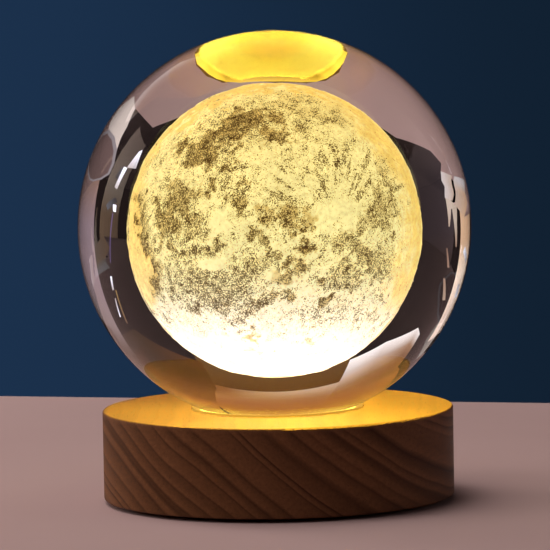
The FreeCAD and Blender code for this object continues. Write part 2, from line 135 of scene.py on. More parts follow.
def math_node(tree, operation, first, second=0.0):
    return add(tree, "ShaderNodeMath", {0: first, 1: second}, operation=operation).outputs[0]


def vector_node(tree, operation, first, second, output="Vector"):
    return add(tree, "ShaderNodeVectorMath", {0: first, 1: second}, operation=operation).outputs[output]


def scale_node(tree, vector, factor):
    return add(tree, "ShaderNodeVectorMath", {0: vector, "Scale": factor}, operation="SCALE").outputs[0]


def length_node(tree, vector):
    return add(tree, "ShaderNodeVectorMath", {0: vector}, operation="LENGTH").outputs["Value"]


def scale_to_mm(tree, vector):
    """Object coordinates in millimetres."""
    return scale_node(tree, vector, MM)


def spread(tree, value, low, high, to_low=0.0, to_high=1.0, smooth=False):
    """value taken from the range low..high to another range, and held inside it."""
    inputs = {"Value": value, "From Min": low, "From Max": high, "To Min": to_low, "To Max": to_high}
    kind = "SMOOTHSTEP" if smooth else "LINEAR"
    return add(tree, "ShaderNodeMapRange", inputs, interpolation_type=kind).outputs[0]


def noise_node(tree, vector, scale, detail=2.0, roughness=0.5):
    inputs = {"Vector": vector, "Scale": scale, "Detail": detail, "Roughness": roughness}
    return add(tree, "ShaderNodeTexNoise", inputs).outputs["Fac"]


def noise_along(tree, value, scale, detail):
    """Noise that changes along one number only."""
    inputs = {"W": value, "Scale": scale, "Detail": detail}
    return add(tree, "ShaderNodeTexNoise", inputs, noise_dimensions="1D").outputs["Fac"]


def ramp(tree, value, stops):
    """A colour for value, through (place, colour) stops."""
    made = add(tree, "ShaderNodeValToRGB", {0: value})
    elements = made.color_ramp.elements
    elements[0].position, elements[-1].position = stops[0][0], stops[-1][0]
    for place, _ in stops[1:-1]:
        elements.new(place)
    for element, (_, colour) in zip(elements, stops):
        element.color = (*colour, 1.0)
    return made.outputs[0]


def mix_colour(tree, share, first, second, blend="MIX"):
    made = add(tree, "ShaderNodeMix", {0: share}, data_type="RGBA", blend_type=blend)
    for socket, colour in ((made.inputs[6], first), (made.inputs[7], second)):
        if isinstance(colour, bpy.types.NodeSocket):
            tree.links.new(colour, socket)
        else:
            socket.default_value = (*colour, 1.0)
    return made.outputs[2]


def bump_node(tree, height, distance, strength=1.0):
    inputs = {"Height": height, "Distance": distance, "Strength": strength}
    return add(tree, "ShaderNodeBump", inputs).outputs[0]


def new_material(name, **inputs):
    """A material with a Principled shader whose own sockets take the given constants."""
    material = bpy.data.materials.new(name)
    material.use_nodes = True
    tree = material.node_tree
    shader = tree.nodes["Principled BSDF"]
    for socket, value in inputs.items():
        shader.inputs[socket.replace("_", " ")].default_value = value
    coordinates = tree.nodes.new("ShaderNodeTexCoord").outputs["Object"]
    return material, tree, shader, coordinates


def wood_material():
    """Turned walnut: slanted growth rings that darken outwards, fine fibres along Y and open pores."""
    material, tree, shader, coordinates = new_material("turned_wood", Specular_IOR_Level=0.16)
    place = scale_to_mm(tree, coordinates)
    waves = add(tree, "ShaderNodeTexNoise", {"Vector": place, "Scale": 0.03, "Detail": 2.0}).outputs["Color"]
    sway = scale_node(tree, vector_node(tree, "SUBTRACT", waves, (0.5, 0.5, 0.5)), 4.0)
    bent = vector_node(tree, "ADD", place, sway)
    from_heart = vector_node(tree, "SUBTRACT", bent, RING_CENTRE)
    reach = length_node(tree, vector_node(tree, "MULTIPLY", from_heart, (1.0, FIBRE_SQUASH, 1.0)))
    uneven = math_node(tree, "MULTIPLY", noise_along(tree, reach, 0.13, 2.0), 9.0)
    years = math_node(tree, "DIVIDE", math_node(tree, "ADD", reach, uneven), RING_SPACING)
    ring = math_node(tree, "FRACT", years)
    late = ramp(tree, ring, [(share, (shade, shade, shade)) for share, shade in RING_SHADES])
    depth = spread(tree, noise_along(tree, years, 0.7, 1.0), 0.3, 0.7, 0.45, 1.0)
    late = math_node(tree, "MULTIPLY", late, depth)
    along = vector_node(tree, "MULTIPLY", bent, (1.0, 0.05, 1.0))
    fibres = noise_node(tree, along, 1.6, 5.0, 0.62)
    pores = spread(tree, noise_node(tree, along, 3.4, 1.0), 0.64, 0.76)
    tone = noise_node(tree, place, 0.06, 2.0)
    light = mix_colour(tree, tone, (0.195, 0.086, 0.036), (0.275, 0.126, 0.056))
    upward = add(tree, "ShaderNodeSeparateXYZ", {0: place}).outputs["Z"]
    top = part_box("wood_base")[1][2] * MM
    figure = spread(tree, upward, top - FIGURE_FADE[0], top - FIGURE_FADE[1], 0.92, 0.22)
    ringed = mix_colour(tree, math_node(tree, "MULTIPLY", late, figure), light, (0.050, 0.020, 0.009))
    streak = spread(tree, fibres, 0.3, 0.7, 0.80, 1.14)
    fibred = mix_colour(tree, 1.0, ringed, streak, "MULTIPLY")
    colour = mix_colour(tree, math_node(tree, "MULTIPLY", pores, 0.35), fibred, (0.018, 0.008, 0.004))
    tree.links.new(colour, shader.inputs["Base Color"])
    tree.links.new(spread(tree, fibres, 0.25, 0.75, 0.48, 0.62), shader.inputs["Roughness"])
    height = math_node(tree, "SUBTRACT", fibres, math_node(tree, "MULTIPLY", pores, 0.9))
    tree.links.new(bump_node(tree, height, 0.00005, 0.6), shader.inputs["Normal"])
    return material


def glass_material():
    """Clear polished glass. Light from lamps passes it unbent, so that what is under it is lit."""
    material, tree, shader, _ = new_material(
        "crystal_glass",
        Base_Color=(1.0, 1.0, 1.0, 1.0),
        Roughness=0.0,
        IOR=GLASS_IOR,
        Transmission_Weight=1.0,
    )
    path = tree.nodes.new("ShaderNodeLightPath").outputs
    passing = math_node(tree, "MAXIMUM", path["Is Shadow Ray"], path["Is Diffuse Ray"])
    clear = tree.nodes.new("ShaderNodeBsdfTransparent").outputs[0]
    both = add(tree, "ShaderNodeMixShader", {0: passing, 1: shader.outputs[0], 2: clear}).outputs[0]
    tree.links.new(both, tree.nodes["Material Output"].inputs["Surface"])
    return material


def moon_material():
    """Frosted engraving with painted light: it glows as if lit by the lamps below it, white at the bottom
    and golden above, with dark specks between its points.
    """
    material, tree, shader, coordinates = new_material(
        "engraved_glass", Roughness=0.9, Specular_IOR_Level=0.0, Emission_Strength=MOON_STRENGTH
    )
    place = scale_to_mm(tree, coordinates)
    density, tone, height, gold, plain = [
        add(tree, "ShaderNodeAttribute", attribute_name=name).outputs["Fac"]
        for name in ("speck_density", "tone", "lit_height", "gold", "plain")
    ]
    grain = noise_node(tree, place, 5.4, 0.6, 0.5)
    clumps = noise_node(tree, place, 0.8, 3.0, 0.6)
    coarse = math_node(tree, "MULTIPLY", clumps, CLUMP_SHARE)
    fine = math_node(tree, "MULTIPLY", grain, 1.0 - CLUMP_SHARE)
    mixed = math_node(tree, "ADD", coarse, fine)
    limit = spread(tree, density, 0.0, 1.0, 0.235, 0.56)
    over = math_node(tree, "SUBTRACT", limit, mixed)
    thick = spread(tree, clumps, 0.3, 0.7, 1.0, 0.75)
    speck = math_node(tree, "MULTIPLY", spread(tree, over, -0.012, 0.03), thick)
    # painted light from the lamps below, by height: white at the foot, golden higher up
    glow = ramp(
        tree,
        height,
        [
            (0.0, (0.50, 0.495, 0.49)),
            (0.06, (0.43, 0.425, 0.415)),
            (0.13, (0.38, 0.373, 0.345)),
            (0.20, (0.360, 0.347, 0.275)),
            (0.28, (0.355, 0.330, 0.205)),
            (0.40, (0.350, 0.312, 0.145)),
            (0.60, (0.345, 0.295, 0.118)),
            (0.80, (0.35, 0.290, 0.108)),
            (1.0, (0.335, 0.262, 0.085)),
        ],
    )
    golden = mix_colour(tree, gold, glow, mix_colour(tree, 1.0, glow, (0.92, 0.74, 0.44), "MULTIPLY"))
    haloed = mix_colour(tree, 1.0, golden, (0.84, 0.72, 0.50), "MULTIPLY")
    browned = mix_colour(tree, 1.0, golden, (0.64, 0.51, 0.33), "MULTIPLY")
    near = mix_colour(tree, spread(tree, over, -0.10, 0.0, 0.0, 0.8), golden, haloed)
    earthy = mix_colour(tree, plain, near, browned)
    mottle = spread(tree, noise_node(tree, place, 1.5, 4.0, 0.7), 0.36, 0.58, 0.80, 1.08)
    # tone carries painted crater shading and a painted highlight along the disc's edge, besides random
    # variation
    shaded = mix_colour(tree, 1.0, earthy, math_node(tree, "MULTIPLY", tone, mottle), "MULTIPLY")
    dark = mix_colour(tree, 1.0, shaded, (0.09, 0.055, 0.03), "MULTIPLY")
    tree.links.new(mix_colour(tree, speck, shaded, dark), shader.inputs["Emission Color"])
    ground = mix_colour(tree, speck, (0.24, 0.19, 0.085), (0.02, 0.013, 0.006))
    tree.links.new(ground, shader.inputs["Base Color"])
    return material


def disc_material():
    """Frosted dish with the lamps' light behind it, more orange in the middle of their ring."""
    material, tree, shader, coordinates = new_material("frosted_plastic", Emission_Strength=DISC_STRENGTH)
    place = scale_to_mm(tree, coordinates)
    out = length_node(tree, vector_node(tree, "MULTIPLY", place, (1.0, 1.0, 0.0)))
    parts = add(tree, "ShaderNodeSeparateXYZ", {0: place}).outputs
    frost = noise_node(tree, place, 3.0, 3.0)
    from_ball = vector_node(tree, "DISTANCE", place, tuple(BALL_CENTRE * MM), "Value")
    seat = BALL_RADIUS * MM + SEAT_GAP
    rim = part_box("diffuser_disc")[1][2] * MM
    outside = spread(tree, from_ball, seat + DISC_SHELL[0], seat + DISC_SHELL[1])
    at_rim = spread(tree, parts["Z"], rim - DISC_RIM_BAND[0], rim - DISC_RIM_BAND[1])
    outside = math_node(tree, "MAXIMUM", outside, at_rim)
    glow = ramp(
        tree,
        spread(tree, out, 0.0, DISC_SPAN),
        [
            (0.30, (0.86, 0.48, 0.008)),
            (0.48, (0.88, 0.57, 0.012)),
            (0.57, (0.90, 0.68, 0.035)),
            (0.68, (0.92, 0.72, 0.050)),
            (0.86, (0.92, 0.73, 0.060)),
            (1.0, (0.92, 0.66, 0.040)),
        ],
    )
    ahead = spread(tree, parts["Y"], *DISC_FRONT, DISC_FRONT_GAIN, 1.0)
    uneven = math_node(tree, "MULTIPLY", spread(tree, frost, 0.3, 0.7, 0.94, 1.04), ahead)
    lit = mix_colour(tree, 1.0, glow, uneven, "MULTIPLY")
    shown = mix_colour(tree, outside, lit, (0.055, 0.029, 0.003))
    tree.links.new(shown, shader.inputs["Emission Color"])
    milky = mix_colour(tree, frost, (0.80, 0.76, 0.66), (0.9, 0.87, 0.78))
    tree.links.new(mix_colour(tree, outside, milky, (0.20, 0.12, 0.03)), shader.inputs["Base Color"])
    tree.links.new(spread(tree, frost, 0.3, 0.7, 0.55, 0.75), shader.inputs["Roughness"])
    tree.links.new(bump_node(tree, frost, 0.00005), shader.inputs["Normal"])
    return material


def moulded_material(name, colour, roughness, grain=9.0, depth=0.00003, vary=0.25):
    """Moulded plastic or rubber: a spark-eroded texture, a slight change of tone, and rubbed patches."""
    material, tree, shader, coordinates = new_material(name)
    place = scale_to_mm(tree, coordinates)
    fine = noise_node(tree, place, grain, 2.0, 0.6)
    broad = noise_node(tree, place, 0.25, 3.0)
    dim = tuple(channel * (1 - vary) for channel in colour)
    lit = tuple(channel * (1 + vary) for channel in colour)
    tree.links.new(mix_colour(tree, broad, dim, lit), shader.inputs["Base Color"])
    grained = math_node(tree, "MULTIPLY", fine, 0.12)
    rubbed = math_node(tree, "MULTIPLY", broad, 0.14)
    shine = math_node(tree, "ADD", grained, rubbed)
    rough = math_node(tree, "ADD", shine, roughness - 0.13)
    tree.links.new(rough, shader.inputs["Roughness"])
    tree.links.new(bump_node(tree, fine, depth), shader.inputs["Normal"])
    return material


def metal_material(name, colour, roughness, along=(1.0, 1.0, 12.0)):
    """Drawn or plated metal, with fine lines along one way and faint stains."""
    material, tree, shader, coordinates = new_material(name, Metallic=1.0)
    place = scale_to_mm(tree, coordinates)
    squeezed = vector_node(tree, "MULTIPLY", place, along)
    lines = noise_node(tree, squeezed, 2.0, 3.0, 0.6)
    stains = noise_node(tree, place, 0.7, 3.0)
    dim = tuple(channel * 0.8 for channel in colour)
    tree.links.new(mix_colour(tree, stains, dim, colour), shader.inputs["Base Color"])
    rough = spread(tree, lines, 0.3, 0.7, roughness * 0.75, roughness * 1.3)
    tree.links.new(rough, shader.inputs["Roughness"])
    tree.links.new(bump_node(tree, lines, 0.00001, 0.5), shader.inputs["Normal"])
    return material


def smoothstep(value, low, high):
    share = np.clip((value - low) / (high - low), 0.0, 1.0)
    return share * share * (3.0 - 2.0 * share)


def cube_ball(steps):
    """Directions and quads of a ball blown up from a cube, evenly spaced along each side."""
    angles = np.linspace(-math.pi / 4, math.pi / 4, steps + 1)
    across, upward = np.meshgrid(np.tan(angles), np.tan(angles), indexing="ij")
    one = np.ones_like(across)
    sides = [
        (one, across, upward),
        (-one, -across, upward),
        (-across, one, upward),
        (across, -one, upward),
        (across, upward, one),
        (-across, upward, -one),
    ]
    points = np.concatenate([np.stack(side, -1).reshape(-1, 3) for side in sides])
    points /= np.linalg.norm(points, axis=1, keepdims=True)
    index = np.arange((steps + 1) ** 2).reshape(steps + 1, steps + 1)
    quad = np.stack([index[:-1, :-1], index[1:, :-1], index[1:, 1:], index[:-1, 1:]], -1).reshape(-1, 4)
    quads = np.concatenate([quad + side * (steps + 1) ** 2 for side in range(len(sides))])
    keys = np.round(points * 1e6).astype(int)  # equal where two sides share a point
    _, first, merged = np.unique(keys, axis=0, return_index=True, return_inverse=True)
    return points[first], merged.reshape(-1)[quads]


# The engraving's dark plains, as a viewer in front sees them through the glass, in radii of its disc:
# across, up, half width, half height, tilt in degrees, density of specks, share of brown ground
PLAINS = [
    (-0.16, 0.72, 0.20, 0.10, -10, 0.86, 1.0),
    (-0.30, 0.64, 0.16, 0.08, 12, 0.92, 1.0),
    (-0.47, 0.56, 0.16, 0.09, 20, 0.90, 0.9),
    (-0.52, 0.49, 0.09, 0.05, 0, 0.85, 0.8),
    (-0.31, 0.43, 0.05, 0.07, -30, 0.97, 0.9),
    (0.03, 0.62, 0.08, 0.04, -25, 0.85, 0.7),
    (0.20, 0.66, 0.08, 0.05, -10, 0.75, 0.6),
    (0.10, 0.83, 0.24, 0.05, -5, 0.28, 0.4),
    (0.37, 0.75, 0.12, 0.04, -28, 0.60, 0.4),
    (-0.455, 0.265, 0.04, 0.05, -20, 0.95, 0.8),
    (-0.17, 0.31, 0.06, 0.035, 0, 0.92, 0.7),
    (-0.24, 0.20, 0.07, 0.06, 35, 0.95, 0.8),
    (-0.25, 0.12, 0.05, 0.03, 0, 0.90, 0.6),
    (-0.64, 0.22, 0.14, 0.10, 10, 0.75, 0.7),
    (-0.70, 0.08, 0.11, 0.15, 0, 0.85, 0.8),
    (-0.56, 0.04, 0.10, 0.08, 0, 0.75, 0.4),
    (-0.52, -0.13, 0.18, 0.05, 8, 0.92, 0.4),
    (0.08, 0.09, 0.17, 0.08, -14, 0.90, 0.9),
    (-0.09, -0.03, 0.09, 0.06, -30, 0.95, 0.7),
    (0.00, -0.15, 0.05, 0.04, -30, 0.95, 0.6),
    (0.15, -0.11, 0.03, 0.025, 0, 1.00, 0.9),
    (0.23, -0.14, 0.05, 0.045, -20, 1.00, 1.0),
    (0.34, -0.15, 0.025, 0.03, 0, 1.00, 0.9),
    (0.10, -0.26, 0.08, 0.08, 0, 0.92, 0.8),
    (-0.44, -0.36, 0.36, 0.15, -6, 0.73, 0.15),
    (-0.15, -0.25, 0.14, 0.08, 10, 0.74, 0.2),
    (-0.35, -0.52, 0.24, 0.07, -10, 0.65, 0.1),
    (-0.10, -0.48, 0.10, 0.04, 10, 0.75, 0.2),
    (0.07, -0.45, 0.05, 0.05, -20, 0.90, 0.9),
    (0.02, -0.40, 0.04, 0.03, -20, 0.90, 0.6),
    (0.38, -0.45, 0.04, 0.03, 0, 0.90, 0.9),
    (0.30, -0.33, 0.05, 0.02, 0, 0.90, 0.5),
    (0.45, -0.32, 0.14, 0.05, 10, 0.75, 0.3),
    (-0.15, -0.68, 0.035, 0.03, 0, 1.00, 1.0),
    (0.16, -0.77, 0.035, 0.03, 0, 0.80, 0.6),
    (-0.17, -0.80, 0.03, 0.04, 0, 0.60, 0.4),
    (0.72, 0.16, 0.09, 0.16, 0, 0.75, 0.4),
    (0.66, 0.02, 0.10, 0.06, -30, 0.75, 0.3),
    (0.55, -0.16, 0.14, 0.07, -35, 0.80, 0.4),
    (0.70, -0.25, 0.12, 0.14, 0, 0.65, 0.3),
    (0.75, 0.40, 0.07, 0.12, 20, 0.55, 0.3),
    (0.40, -0.52, 0.30, 0.10, 12, 0.35, 0.0),
]
RAY_CRATER = (0.42, 0.02)
RING_RADIUS = 0.028  # of the ring of specks round that crater
# Patches with few specks: across, up, half width, half height
CLEAN_PATCHES = [
    (0.40, 0.08, 0.20, 0.12),
    (-0.42, -0.22, 0.12, 0.05),
    (-0.02, -0.30, 0.06, 0.05),
    (-0.38, 0.05, 0.07, 0.09),
]
BASE_DENSITY = 0.53  # of the specks on open ground
RAY_DENSITY = 0.85
CLUMP_SHARE = 0.32  # of the specks' pattern, and the rest is fine grain
WARP = 0.075  # how far the plains' outlines wander
RAGGEDNESS = 0.80  # of the plains' edges
FAR_SIDE = (math.radians(98), math.radians(112))  # from the viewer's side, where the far side takes over
# painted highlight: the engraving's disc is painted brighter towards its edge from here
LIMB_HIGHLIGHT = (math.radians(98), math.radians(102))  # where the disc's edge turns brighter
# painted light: the engraving is painted as lit from below along this line
GLOW_AXIS = (0.05, 0.0, 0.9987)  # the engraving is whitest at the foot of this line
SEAM_UP = (-0.60, -0.50, -0.24, -0.05, 0.25, 0.60)  # the dotted line near the left edge, from below
SEAM_ACROSS = (-0.80, -0.80, -0.80, -0.885, -0.90, -0.80)


def seen_from(directions, front, right, up):
    """Where a viewer along front sees each direction through the ball, in radii of the engraving's disc."""
    disc = np.linspace(0.0, 1.0, 200)
    ball = BALL_RADIUS / MOON_RADIUS
    entry = np.arcsin(disc * GLASS_IOR / ball)
    inside = np.arcsin(disc / ball)
    angle_of_disc = np.arcsin(disc) + entry - inside
    cosine = np.clip(directions @ front, -1.0, 1.0)
    angle = np.arccos(cosine)
    out = np.interp(angle, angle_of_disc, disc, right=1.0)
    sideways, upwards = directions @ right, directions @ up
    length = np.maximum(np.hypot(sideways, upwards), 1e-9)
    return out * sideways / length, out * upwards / length, angle


def noise_field(directions, frequency, octaves=3, shift=0.0, smoothness=0.9):
    offset = Vector((shift, -shift, 2 * shift))
    places = [Vector(direction) * frequency + offset for direction in directions.tolist()]
    return np.array([noise.fractal(place, smoothness, 2.0, octaves) for place in places])


def paint_plains(across, up, roughly):
    """Density of dark specks in the plains and their share of brown, with ragged edges."""
    clear = np.ones_like(across)
    brown = np.zeros_like(across)
    for x, y, half_width, half_height, tilt, strength, tan in PLAINS:
        turn = math.radians(tilt)
        wide = ((across - x) * math.cos(turn) + (up - y) * math.sin(turn)) / half_width
        tall = ((up - y) * math.cos(turn) - (across - x) * math.sin(turn)) / half_height
        share = 1.0 - smoothstep(np.hypot(wide, tall) + RAGGEDNESS * roughly, 0.65, 1.25)
        clear *= 1.0 - strength * share
        brown = np.maximum(brown, tan * share)
    return 1.0 - clear, brown


def paint_rays(across, up):
    """Streaks of specks that fan out from the bright crater, most of them upwards."""
    x, y = across - RAY_CRATER[0], up - RAY_CRATER[1]
    far = np.hypot(x, y)
    bearing = np.arctan2(y, x)
    values = []
    for angle, distance in zip(bearing.tolist(), far.tolist()):
        spot = Vector((math.cos(angle) * 13.0, math.sin(angle) * 13.0, distance * 3.0))
        values.append(noise.fractal(spot, 0.8, 2.0, 2))
    lines = smoothstep(np.array(values), -0.05, 0.35)
    upward = 0.30 + 0.70 * smoothstep(np.sin(bearing), -0.1, 0.5)
    reach = smoothstep(far, 0.13, 0.24) * (1.0 - smoothstep(far, 0.50, 0.72))
    return lines * upward * reach


def craters(directions, chooser):
    """Relief of seeded small craters, a bowl with a raised rim, and their painted shading in tone: a painted
    shade in the bowl and a painted highlight on the rim.
    """
    relief = np.zeros(len(directions))
    tone = np.ones(len(directions))
    for _ in range(SMALL_CRATERS):
        middle = Vector((chooser.gauss(0, 1), chooser.gauss(0, 1), chooser.gauss(0, 1))).normalized()
        size = 0.012 + 0.05 * chooser.random() ** 4
        distance = np.linalg.norm(directions - np.array(middle), axis=1) / size
        near = distance < 2.0
        bowl = np.clip(1.0 - distance[near] ** 2, 0.0, 1.0)
        rim = np.exp(-(((distance[near] - 1.05) / 0.22) ** 2))
        relief[near] += size * (0.25 * rim - 0.35 * bowl)
        # painted shade in the bowl and painted highlight on the rim
        tone[near] *= 1.0 + 0.16 * rim - 0.14 * bowl
    return relief, tone


def paint_gold(across, up, roughly, patchy):
    """Share of smooth gold: a band inside the disc's edge, widest at the right, with none at the bottom."""
    out = np.hypot(across, up) + 0.07 * roughly + 0.09 * patchy
    right = smoothstep(out, 0.78, 0.97) * smoothstep(across, 0.15, 0.6)
    top = smoothstep(out, 0.925, 0.965) * smoothstep(up, 0.2, 0.6)
    seam = np.interp(up, SEAM_UP, SEAM_ACROSS)
    left = 0.9 * smoothstep(seam - across - 0.03 * roughly, -0.01, 0.02)
    return np.maximum.reduce([right, top, left]) * smoothstep(up, -0.62, -0.45)


def paint_seam(across, up, roughly):
    """Density of specks along the dotted line near the left edge."""
    away = np.abs(across - np.interp(up, SEAM_UP, SEAM_ACROSS) - 0.01 + 0.03 * roughly)
    along = smoothstep(up, -0.48, -0.38) * (1.0 - smoothstep(up, 0.20, 0.36)) * (0.85 + 0.6 * roughly)
    return (1.0 - smoothstep(away, 0.02, 0.06)) * along


def paint_ring(across, up):
    """Share of the thin ring round the bright crater."""
    away = np.abs(np.hypot(across - RAY_CRATER[0], up - RAY_CRATER[1]) - RING_RADIUS)
    return 1.0 - smoothstep(away, 0.004, 0.012)


def paint_moon(directions):
    """The values that the engraving's material paints with, and its relief, for each direction."""
    front = np.array((0.0, -math.cos(VIEW_TILT), math.sin(VIEW_TILT)))
    right = np.array((1.0, 0.0, 0.0))
    up = np.cross(right, -front)
    across, upward, angle = seen_from(directions, front, right, up)
    roughly = noise_field(directions, 9.0, 5, smoothness=0.45)
    patchy = noise_field(directions, 2.2, 4, 3.7)
    streaks = noise_field(directions * np.array((1.0, 1.0, 3.0)), 3.0, 3, 9.1)
    broad = noise_field(directions, 1.7, 4, 1.3)
    aside = noise_field(directions, 6.0, 4, 5.3, 0.6)
    above = noise_field(directions, 6.0, 4, 8.9, 0.6)
    behind = smoothstep(angle + 0.16 * patchy + 0.12 * roughly, *FAR_SIDE)
    facing = 1.0 - behind
    limb_highlight = smoothstep(angle, *LIMB_HIGHLIGHT) * facing

    plains, brown = paint_plains(across + WARP * aside, upward + WARP * above, roughly)
    far_plains = smoothstep(patchy, 0.0, 0.35) * behind
    plains = plains * facing + 0.9 * far_plains
    brown = brown * facing + 0.7 * far_plains
    far_gold = 0.8 * smoothstep(broad, -0.1, 0.3) * behind
    gold = paint_gold(across, upward, roughly, patchy) * facing + far_gold
    seam = np.clip(paint_seam(across, upward, roughly) * facing, 0.0, 1.0)
    rays = paint_rays(across, upward) * facing
    # height along that line, which sets the engraving's painted light
    lit_height = (directions @ np.array(GLOW_AXIS) + 1.0) / 2.0

    density = BASE_DENSITY + 0.32 * roughly + 0.14 * patchy
    density = density + (1.0 - density) * plains
    density = np.maximum(density * (1.0 - 0.35 * rays), RAY_DENSITY * rays)
    for x, y, half_width, half_height in CLEAN_PATCHES:
        patch = 1.0 - smoothstep(np.hypot((across - x) / half_width, (upward - y) / half_height), 0.4, 1.3)
        density *= 1.0 - 0.6 * patch * facing
    density *= 1.0 - 0.56 * gold
    density = np.maximum(density, seam)
    density = np.maximum(density, 0.72 * paint_ring(across, upward) * facing)
    # fewer specks at the bottom, where the painted light is whitest
    density *= 0.55 + 0.45 * smoothstep(lit_height, 0.06, 0.20)

    relief, tone = craters(directions, random.Random(MOON_SEED))
    tone *= 1.0 + 0.10 * patchy + 0.10 * streaks * (0.4 + gold)
    # painted highlight along the disc's edge
    tone *= 1.0 + 0.09 * limb_highlight
    relief = relief * 0.4 + 0.004 * roughly - 0.006 * plains
    layers = {
        "speck_density": density,
        # tone: random variation, with painted crater shading and a painted highlight along the disc's edge
        "tone": tone,
        "lit_height": lit_height,
        "gold": gold * (1.0 - 0.35 * limb_highlight),
        "plain": np.maximum(brown * (1.0 - gold), 0.8 * seam),
    }
    return layers, relief


def new_object(name, mesh, material, smooth=True):
    for polygon in mesh.polygons:
        polygon.use_smooth = smooth
    mesh.materials.append(material)
    made = bpy.data.objects.new(name, mesh)
    bpy.context.scene.collection.objects.link(made)
    return made


def make_ball():
    """The outside of the glass. The engraving inside it is a piece of its own."""
    mesh = bpy.data.meshes.new("glass_ball")
    shape = bmesh.new()
    bmesh.ops.create_icosphere(shape, subdivisions=BALL_SUBDIVISIONS, radius=BALL_RADIUS)
    bmesh.ops.translate(shape, verts=shape.verts, vec=BALL_CENTRE)
    shape.to_mesh(mesh)
    shape.free()
    ball = new_object("glass_ball", mesh, glass_material())
    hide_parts("crystal_ball")
    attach(ball, "ball")


def make_moon():
    """The engraving as a ball with its relief, and the values that its material paints with."""
    directions, quads = cube_ball(MOON_STEPS)
    layers, relief = paint_moon(directions)
    lift = 1.0 + np.clip(relief, -RELIEF_LIMIT, RELIEF_LIMIT)
    points = np.array(MOON_CENTRE) + directions * (lift * MOON_RADIUS)[:, None]
    mesh = bpy.data.meshes.new("moon")
    mesh.from_pydata(points.tolist(), [], quads.tolist())
    for name, values in layers.items():
        layer = mesh.attributes.new(name, "FLOAT", "POINT")
        layer.data.foreach_set("value", values.astype(np.float32))
    moon = new_object("moon", mesh, moon_material())
    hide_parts("engraved_moon")
    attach(moon, "ball")


def make_spring():
    """The switch's return spring, as a piece of its own with a steel material."""
    mesh = NODES["switch_spring"].data.copy()
    mesh.materials.clear()
    spring = new_object("return_spring", mesh, metal_material("spring_steel", (0.5, 0.5, 0.51), 0.3))
    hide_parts("switch_spring")
    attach(spring, "base")
    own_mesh(spring)


def give(material, *nodes):
    for name in nodes:
        NODES[name].data.materials.clear()
        NODES[name].data.materials.append(material)


def finish_cad_nodes():
    """Materials of the pieces that keep their solid's shape."""
    give(wood_material(), "wood_base")
    give(disc_material(), "diffuser_disc")
    laminate = moulded_material("board_laminate", (0.72, 0.74, 0.70), 0.4, 5.0, 0.00001, 0.06)
    give(laminate, "lamp_board", "inlet_board")
    give(moulded_material("lamp_housing", (0.82, 0.81, 0.76), 0.5, 8.0, vary=0.06), "led_packages")
    give(moulded_material("lamp_phosphor", (0.85, 0.60, 0.10), 0.35, 6.0, vary=0.15), "led_phosphors")
    give(moulded_material("chip_ceramic", (0.02, 0.02, 0.022), 0.3, 6.0), "ballast_resistors")
    screws = metal_material("screw_steel", (0.56, 0.56, 0.57), 0.32)
    give(screws, "lamp_board_screws", "inlet_board_screws", "panel_screws", "cover_screws")
    give(metal_material("socket_steel", (0.68, 0.68, 0.69), 0.28, (1.0, 0.1, 1.0)), "socket_shell")
    give(moulded_material("socket_plastic", (0.015, 0.015, 0.016), 0.5), "socket_core")
    give(metal_material("contact_brass", (0.83, 0.62, 0.25), 0.25, (1.0, 0.1, 1.0)), "socket_contacts")
    give(moulded_material("switch_plastic", (0.02, 0.02, 0.021), 0.5), "switch_housing", "switch_rear_cap")
    give(metal_material("tinned_metal", (0.72, 0.72, 0.72), 0.35), "switch_terminals")
    give(moulded_material("plunger_plastic", (0.62, 0.62, 0.60), 0.45, vary=0.08), "switch_plunger")
    give(moulded_material("button_plastic", (0.032, 0.032, 0.034), 0.36, 7.0, 0.00001), "button_cap")
    give(moulded_material("panel_plastic", (0.024, 0.024, 0.025), 0.55, 7.0, 0.00005), "rear_panel")
    give(moulded_material("wire_red", (0.32, 0.012, 0.01), 0.45, 4.0), "positive_wire")
    give(moulded_material("wire_black", (0.012, 0.012, 0.012), 0.45, 4.0), "negative_wire")
    give(moulded_material("cover_plastic", (0.030, 0.027, 0.024), 0.58, 6.0, 0.00006), "bottom_cover")
    give(moulded_material("foot_rubber", (0.02, 0.02, 0.02), 0.8, 11.0, 0.00004), "rubber_feet")


def make_floor():
    """A plain pale shelf with a soft mottle."""
    material, tree, shader, coordinates = new_material("stage_floor", Specular_IOR_Level=0.0, Roughness=0.9)
    mottle = noise_node(tree, coordinates, 14.0, 3.0)
    tone = mix_colour(tree, mottle, (0.585, 0.428, 0.44), (0.65, 0.49, 0.505))
    tree.links.new(tone, shader.inputs["Base Color"])
    across = Vector((math.cos(FLOOR_TURN), -math.sin(FLOOR_TURN), 0.0)) * FLOOR_HALF_WIDTH
    rearward = Vector((math.sin(FLOOR_TURN), math.cos(FLOOR_TURN), 0.0))
    rear, front = rearward * FLOOR_REAR, rearward * -FLOOR_FRONT
    mesh = bpy.data.meshes.new("stage_floor")
    mesh.from_pydata([front - across, front + across, rear + across, rear - across], [], [(0, 1, 2, 3)])
    new_object("stage_floor", mesh, material, smooth=False)


